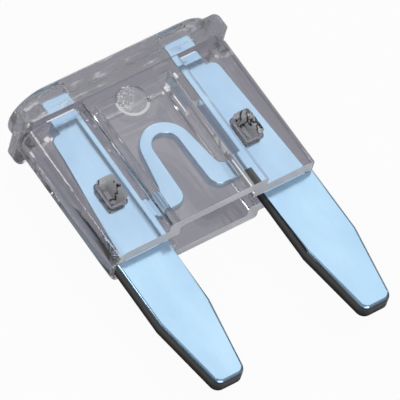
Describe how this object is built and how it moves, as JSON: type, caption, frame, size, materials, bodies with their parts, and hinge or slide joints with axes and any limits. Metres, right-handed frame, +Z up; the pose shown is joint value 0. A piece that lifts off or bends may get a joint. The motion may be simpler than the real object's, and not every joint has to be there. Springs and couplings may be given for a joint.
{
  "type": "blade fuse",
  "caption": "Miniature plug-in blade fuse: clear moulded housing over one stamped zinc element with tapered contact blades and a bent fusible link.",
  "frame": {"origin": "middle of the overall length and width, on the surface that the fuse lies on", "axes": "+X across the two blades, +Y from the blade tips to the head, +Z up through the front face"},
  "size_m": [0.0114, 0.0164, 0.0036],
  "materials": {
    "clear_plastic": "clear, slightly smoky, glossy moulding",
    "zinc": "bright bluish stamped strip with dark sheared edges"
  },
  "bodies": {
    "root": {"housing": "clear_plastic", "fuse_element": "zinc"}
  },
  "joints": []
}
